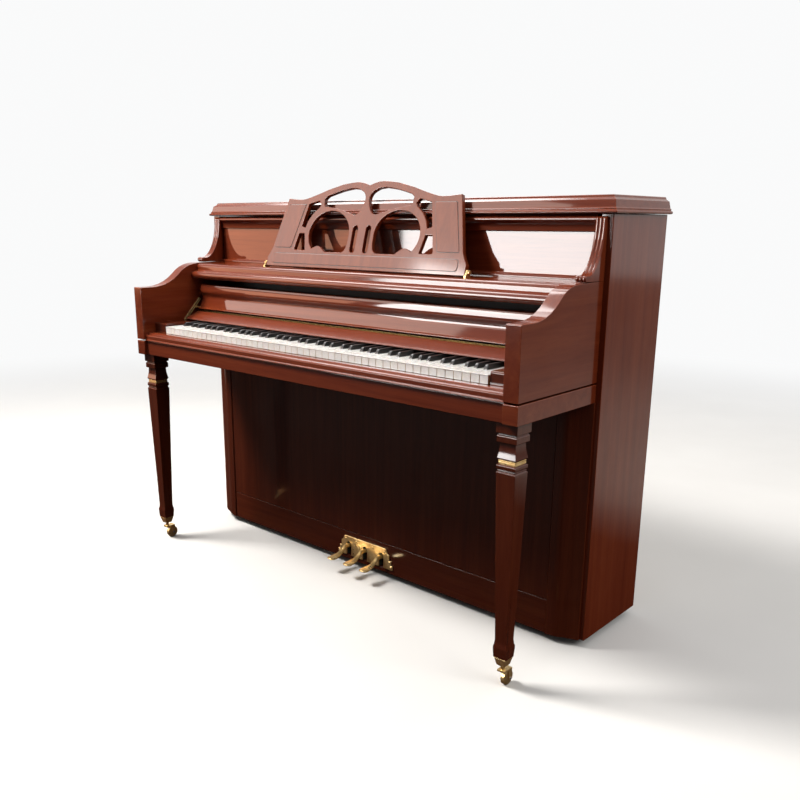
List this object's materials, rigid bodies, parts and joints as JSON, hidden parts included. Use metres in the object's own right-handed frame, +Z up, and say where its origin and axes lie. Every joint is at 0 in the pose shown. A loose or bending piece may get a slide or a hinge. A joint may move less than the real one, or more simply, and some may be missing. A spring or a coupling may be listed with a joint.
{
  "type": "upright piano",
  "caption": "Console upright piano on square tapered front legs, with fretwork music desk, open fallboard, working keys, pedals and lid.",
  "frame": {"origin": "on the floor, midway between the ends and between the arms' front and the hinge at the lid's back", "axes": "+X to the treble end, +Y towards the wall, +Z up; the player sits on the -Y side"},
  "size_m": [1.48, 0.606, 1.1446],
  "materials": {
    "mahogany": "clear satin to gloss lacquer over red-brown straight-grained veneer",
    "brass": "polished and lacquered",
    "ivory_plastic": "smooth white key tops",
    "ebony_plastic": "satin black sharps",
    "maple": "plain pale hardwood",
    "spruce": "straight-grained softwood, thin varnish",
    "bronze_iron": "cast iron under bronze-coloured lacquer",
    "black_rubber": "matt black"
  },
  "bodies": {
    "case": {"case_side_left": "mahogany", "case_side_right": "mahogany", "arm_left": "mahogany", "arm_right": "mahogany", "keybed": "mahogany", "key_slip": "mahogany", "key_block_left": "mahogany", "key_block_right": "mahogany", "desk_shelf": "mahogany", "upper_panel": "mahogany", "scroll_left": "mahogany", "scroll_right": "mahogany", "knee_panel": "mahogany", "toe_rail": "mahogany", "pilaster_left": "mahogany", "pilaster_right": "mahogany", "bottom_board": "mahogany", "nameboard": "mahogany", "leg_left": "mahogany", "leg_right": "mahogany", "lid_hinge": "brass", "desk_pivot_left": "brass", "desk_pivot_right": "brass", "fallboard_hinge": "brass", "leg_ferrule_left": "brass", "leg_ferrule_right": "brass", "pedal_plate": "brass", "key_frame": "maple", "action_frame": "maple", "pin_block": "maple", "back_frame": "spruce", "soundboard": "spruce", "iron_plate": "bronze_iron", "rear_glide_left": "black_rubber", "rear_glide_right": "black_rubber"},
    "top_lid": {"top_lid": "mahogany"},
    "music_desk": {"music_desk": "mahogany"},
    "fallboard": {"fallboard": "mahogany"},
    "fallboard_arm_left": {"fallboard_arm_left": "brass"},
    "fallboard_arm_right": {"fallboard_arm_right": "brass"},
    "pedal_soft": {"pedal_soft": "brass"},
    "pedal_practice": {"pedal_practice": "brass"},
    "pedal_sustain": {"pedal_sustain": "brass"},
    "caster_left": {"caster_fork_left": "brass"},
    "caster_right": {"caster_fork_right": "brass"},
    "caster_wheel_left": {"caster_wheel_left": "black_rubber"},
    "caster_wheel_right": {"caster_wheel_right": "black_rubber"},
    "hammer_rail": {"hammer_rail": "maple"},
    "damper_rail": {"damper_rail": "maple"},
    "muffler_rail": {"muffler_rail": "maple"},
    "naturals_bass": {"naturals_bass": "ivory_plastic"},
    "naturals_treble": {"naturals_treble": "ivory_plastic"},
    "sharps_bass": {"sharps_bass": "ebony_plastic"},
    "sharps_treble": {"sharps_treble": "ebony_plastic"},
    "key_c4": {"key_c4": "ivory_plastic"},
    "key_c_sharp4": {"key_c_sharp4": "ebony_plastic"},
    "key_d4": {"key_d4": "ivory_plastic"},
    "key_d_sharp4": {"key_d_sharp4": "ebony_plastic"},
    "key_e4": {"key_e4": "ivory_plastic"}
  },
  "joints": [
    {"name": "top_lid_hinge", "type": "hinge", "parent": "case", "child": "top_lid", "pos_m": [0, 0.3005, 1.036], "axis": [-1, 0, 0], "range_deg": [0, 100]},
    {"name": "music_desk_tilt", "type": "hinge", "parent": "case", "child": "music_desk", "pos_m": [0, -0.03821, 0.91612], "axis": [1, 0, 0], "range_deg": [0, 105]},
    {"name": "fallboard_fold", "type": "hinge", "parent": "case", "child": "fallboard", "pos_m": [0, -0.1105, 0.7578], "axis": [1, 0, 0], "range_deg": [0, 110]},
    {"name": "fallboard_arm_left_swing", "type": "hinge", "parent": "case", "child": "fallboard_arm_left", "pos_m": [-0.67425, -0.146, 0.729], "axis": [1, 0, 0], "range_deg": [-6, 0]},
    {"name": "fallboard_arm_right_swing", "type": "hinge", "parent": "case", "child": "fallboard_arm_right", "pos_m": [0.67425, -0.146, 0.729], "axis": [1, 0, 0], "range_deg": [-6, 0]},
    {"name": "pedal_soft_press", "type": "hinge", "parent": "case", "child": "pedal_soft", "pos_m": [-0.0675, 0.117, 0.062], "axis": [1, 0, 0], "range_deg": [0, 5], "stiffness_Nm_per_rad": 6, "springref_deg": -20.05},
    {"name": "pedal_practice_press", "type": "hinge", "parent": "case", "child": "pedal_practice", "pos_m": [0, 0.117, 0.062], "axis": [1, 0, 0], "range_deg": [0, 5], "stiffness_Nm_per_rad": 6, "springref_deg": -20.05},
    {"name": "pedal_sustain_press", "type": "hinge", "parent": "case", "child": "pedal_sustain", "pos_m": [0.0675, 0.117, 0.062], "axis": [1, 0, 0], "range_deg": [0, 5], "stiffness_Nm_per_rad": 6, "springref_deg": -20.05},
    {"name": "hammer_rail_swing", "type": "hinge", "parent": "case", "child": "hammer_rail", "pos_m": [0, 0.099, 0.865], "axis": [-1, 0, 0], "range_deg": [0, 3.2]},
    {"name": "damper_rail_swing", "type": "hinge", "parent": "case", "child": "damper_rail", "pos_m": [0, 0.133, 0.803], "axis": [1, 0, 0], "range_deg": [0, 2.2]},
    {"name": "muffler_rail_drop", "type": "slide", "parent": "case", "child": "muffler_rail", "axis": [0, 0, -1], "range_m": [0, 0.027]},
    {"name": "naturals_bass_press", "type": "hinge", "parent": "case", "child": "naturals_bass", "pos_m": [-0.34075, -0.028, 0.6985], "axis": [1, 0, 0], "range_deg": [0, 2.4], "stiffness_Nm_per_rad": 40, "springref_deg": -8.59},
    {"name": "naturals_treble_press", "type": "hinge", "parent": "case", "child": "naturals_treble", "pos_m": [0.3055, -0.028, 0.6985], "axis": [1, 0, 0], "range_deg": [0, 2.4], "stiffness_Nm_per_rad": 45, "springref_deg": -8.59},
    {"name": "sharps_bass_press", "type": "hinge", "parent": "case", "child": "sharps_bass", "pos_m": [-0.34, -0.028, 0.6985], "axis": [1, 0, 0], "range_deg": [0, 2.4], "stiffness_Nm_per_rad": 15, "springref_deg": -8.59},
    {"name": "sharps_treble_press", "type": "hinge", "parent": "case", "child": "sharps_treble", "pos_m": [0.3, -0.028, 0.6985], "axis": [1, 0, 0], "range_deg": [0, 2.4], "stiffness_Nm_per_rad": 15, "springref_deg": -8.59},
    {"name": "key_c4_press", "type": "hinge", "parent": "case", "child": "key_c4", "pos_m": [-0.05875, -0.028, 0.6985], "axis": [1, 0, 0], "range_deg": [0, 2.4], "stiffness_Nm_per_rad": 1.8, "springref_deg": -8.59},
    {"name": "key_d4_press", "type": "hinge", "parent": "case", "child": "key_d4", "pos_m": [-0.03525, -0.028, 0.6985], "axis": [1, 0, 0], "range_deg": [0, 2.4], "stiffness_Nm_per_rad": 1.8, "springref_deg": -8.59},
    {"name": "key_e4_press", "type": "hinge", "parent": "case", "child": "key_e4", "pos_m": [-0.01175, -0.028, 0.6985], "axis": [1, 0, 0], "range_deg": [0, 2.4], "stiffness_Nm_per_rad": 1.8, "springref_deg": -8.59},
    {"name": "key_c_sharp4_press", "type": "hinge", "parent": "case", "child": "key_c_sharp4", "pos_m": [-0.0495, -0.028, 0.6985], "axis": [1, 0, 0], "range_deg": [0, 2.4], "stiffness_Nm_per_rad": 1.2, "springref_deg": -8.59},
    {"name": "key_d_sharp4_press", "type": "hinge", "parent": "case", "child": "key_d_sharp4", "pos_m": [-0.021, -0.028, 0.6985], "axis": [1, 0, 0], "range_deg": [0, 2.4], "stiffness_Nm_per_rad": 1.2, "springref_deg": -8.59},
    {"name": "caster_left_swivel", "type": "hinge", "parent": "case", "child": "caster_left", "pos_m": [-0.679, -0.26, 0.05], "axis": [0, 0, 1], "continuous": true},
    {"name": "caster_wheel_left_spin", "type": "hinge", "parent": "caster_left", "child": "caster_wheel_left", "pos_m": [-0.679, -0.243, 0.0185], "axis": [1, 0, 0], "continuous": true},
    {"name": "caster_right_swivel", "type": "hinge", "parent": "case", "child": "caster_right", "pos_m": [0.679, -0.26, 0.05], "axis": [0, 0, 1], "continuous": true},
    {"name": "caster_wheel_right_spin", "type": "hinge", "parent": "caster_right", "child": "caster_wheel_right", "pos_m": [0.679, -0.243, 0.0185], "axis": [1, 0, 0], "continuous": true}
  ],
  "couplings": [
    {"joint": "fallboard_arm_left_swing", "follows": "fallboard_fold", "ratio": -0.045},
    {"joint": "fallboard_arm_right_swing", "follows": "fallboard_fold", "ratio": -0.045},
    {"joint": "hammer_rail_swing", "follows": "pedal_soft_press", "ratio": 0.6},
    {"joint": "damper_rail_swing", "follows": "pedal_sustain_press", "ratio": 0.4},
    {"joint": "muffler_rail_drop", "follows": "pedal_practice_press", "m_per_rad": 0.29}
  ]
}
